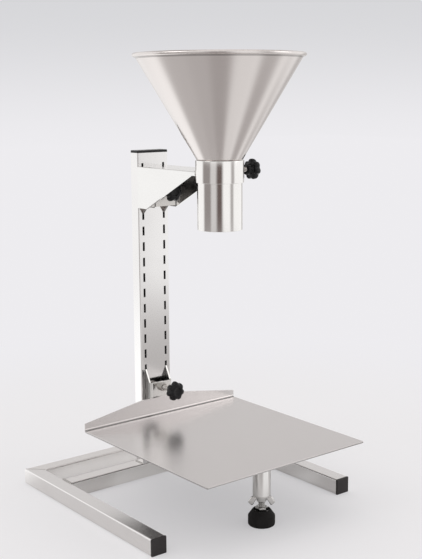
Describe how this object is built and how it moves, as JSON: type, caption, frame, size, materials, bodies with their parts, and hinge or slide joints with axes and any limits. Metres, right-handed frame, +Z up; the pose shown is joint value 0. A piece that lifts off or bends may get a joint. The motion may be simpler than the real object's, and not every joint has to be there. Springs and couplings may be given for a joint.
{
  "type": "filling funnel with stand",
  "caption": "Open steel funnel in a collar on a hook-in bracket, over a height-set tray, both on a slotted column with a low open base and a levelling foot.",
  "frame": {"origin": "on the floor, in the middle of the footprint's bounding box", "axes": "+Z up along the column and the funnel's axis; -Y points from the column to the tray's front edge and the open ends of the legs; +X is to the right seen from the front, the side of the collar's screw"},
  "size_m": [0.305, 0.342, 0.545],
  "materials": {
    "base_tube": "satin ground stainless tube",
    "plug_plastic": "moulded, slightly glossy black",
    "column_steel": "polished stainless tube",
    "cap_plastic": "moulded, slightly glossy black",
    "bracket_steel": "polished stainless sheet",
    "cross_plate_steel": "polished stainless sheet",
    "hook_plate_steel": "polished stainless sheet",
    "collar_steel": "mirror polished stainless ring",
    "funnel_steel": "stainless brushed round the axis",
    "neck_steel": "polished stainless tube",
    "tray_steel": "satin stainless sheet",
    "hook_box_steel": "polished stainless sheet",
    "leg_tube_steel": "polished stainless tube",
    "nut_steel": "machined stainless",
    "screw_steel": "machined stainless",
    "wing_nut_steel": "cast and polished stainless",
    "knob_plastic": "moulded, glossy black",
    "foot_rubber": "moulded black rubber"
  },
  "bodies": {
    "stand": {"left_leg": "base_tube", "right_leg": "base_tube", "rear_rail": "base_tube", "column_rail": "base_tube", "left_leg_plug": "plug_plastic", "right_leg_plug": "plug_plastic", "slotted_column": "column_steel", "column_cap": "cap_plastic"},
    "upper_bracket": {"bracket_channel": "bracket_steel", "bracket_cross_plate": "cross_plate_steel", "left_hook_plate": "hook_plate_steel", "right_hook_plate": "hook_plate_steel", "bracket_weld_nut": "nut_steel", "collar": "collar_steel", "collar_weld_nut": "nut_steel"},
    "bracket_screw": {"bracket_screw": "screw_steel"},
    "bracket_knob": {"bracket_knob": "knob_plastic"},
    "collar_screw": {"collar_screw": "screw_steel"},
    "collar_knob": {"collar_knob": "knob_plastic"},
    "funnel": {"funnel_cone": "funnel_steel", "funnel_neck": "neck_steel"},
    "tray_assembly": {"tray": "tray_steel", "tray_hook_box": "hook_box_steel", "tray_weld_nut": "nut_steel", "support_leg": "leg_tube_steel", "leg_insert": "nut_steel"},
    "tray_screw": {"tray_screw": "screw_steel"},
    "tray_knob": {"tray_knob": "knob_plastic"},
    "wing_nut": {"wing_nut": "wing_nut_steel"},
    "foot_stud": {"foot_stud": "screw_steel"},
    "foot_pad": {"rubber_foot": "foot_rubber", "foot_washer": "nut_steel", "foot_nut": "nut_steel"}
  },
  "joints": [
    {"name": "upper_bracket_lift", "type": "slide", "parent": "stand", "child": "upper_bracket", "axis": [0, 0, 1], "range_m": [0, 0.005]},
    {"name": "bracket_screw_travel", "type": "slide", "parent": "upper_bracket", "child": "bracket_screw", "axis": [0, -1, 0], "range_m": [0, 0.003]},
    {"name": "bracket_knob_turn", "type": "hinge", "parent": "bracket_screw", "child": "bracket_knob", "pos_m": [0, 0.045, 0.37985], "axis": [0, -1, 0], "range_deg": [0, 1081]},
    {"name": "collar_screw_travel", "type": "slide", "parent": "upper_bracket", "child": "collar_screw", "axis": [1, 0, 0], "range_m": [0, 0.003]},
    {"name": "collar_knob_turn", "type": "hinge", "parent": "collar_screw", "child": "collar_knob", "pos_m": [0.05, -0.0465, 0.41035], "axis": [1, 0, 0], "range_deg": [0, 1081]},
    {"name": "funnel_lift", "type": "slide", "parent": "upper_bracket", "child": "funnel", "axis": [0, 0, 1], "range_m": [0, 0.09]},
    {"name": "tray_bracket_lift", "type": "slide", "parent": "stand", "child": "tray_assembly", "axis": [0, 0, 1], "range_m": [0, 0.005]},
    {"name": "tray_screw_travel", "type": "slide", "parent": "tray_assembly", "child": "tray_screw", "axis": [0, -1, 0], "range_m": [0, 0.003]},
    {"name": "tray_knob_turn", "type": "hinge", "parent": "tray_screw", "child": "tray_knob", "pos_m": [0, 0.045, 0.12435], "axis": [0, -1, 0], "range_deg": [0, 1081]},
    {"name": "wing_nut_turn", "type": "hinge", "parent": "tray_assembly", "child": "wing_nut", "pos_m": [0, -0.122, 0.03], "axis": [0, 0, -1], "range_deg": [0, 360]},
    {"name": "foot_travel", "type": "slide", "parent": "tray_assembly", "child": "foot_stud", "axis": [0, 0, 1], "range_m": [-0.01125, 0.00125]},
    {"name": "foot_turn", "type": "hinge", "parent": "foot_stud", "child": "foot_pad", "pos_m": [0, -0.122, 0.01], "axis": [0, 0, 1], "range_deg": [-3241, 361]}
  ],
  "couplings": [
    {"joint": "bracket_knob_turn", "follows": "bracket_screw_travel", "rad_per_m": 6283.2},
    {"joint": "collar_knob_turn", "follows": "collar_screw_travel", "rad_per_m": 6283.2},
    {"joint": "tray_knob_turn", "follows": "tray_screw_travel", "rad_per_m": 6283.2},
    {"joint": "foot_turn", "follows": "foot_travel", "rad_per_m": 5026.5}
  ]
}
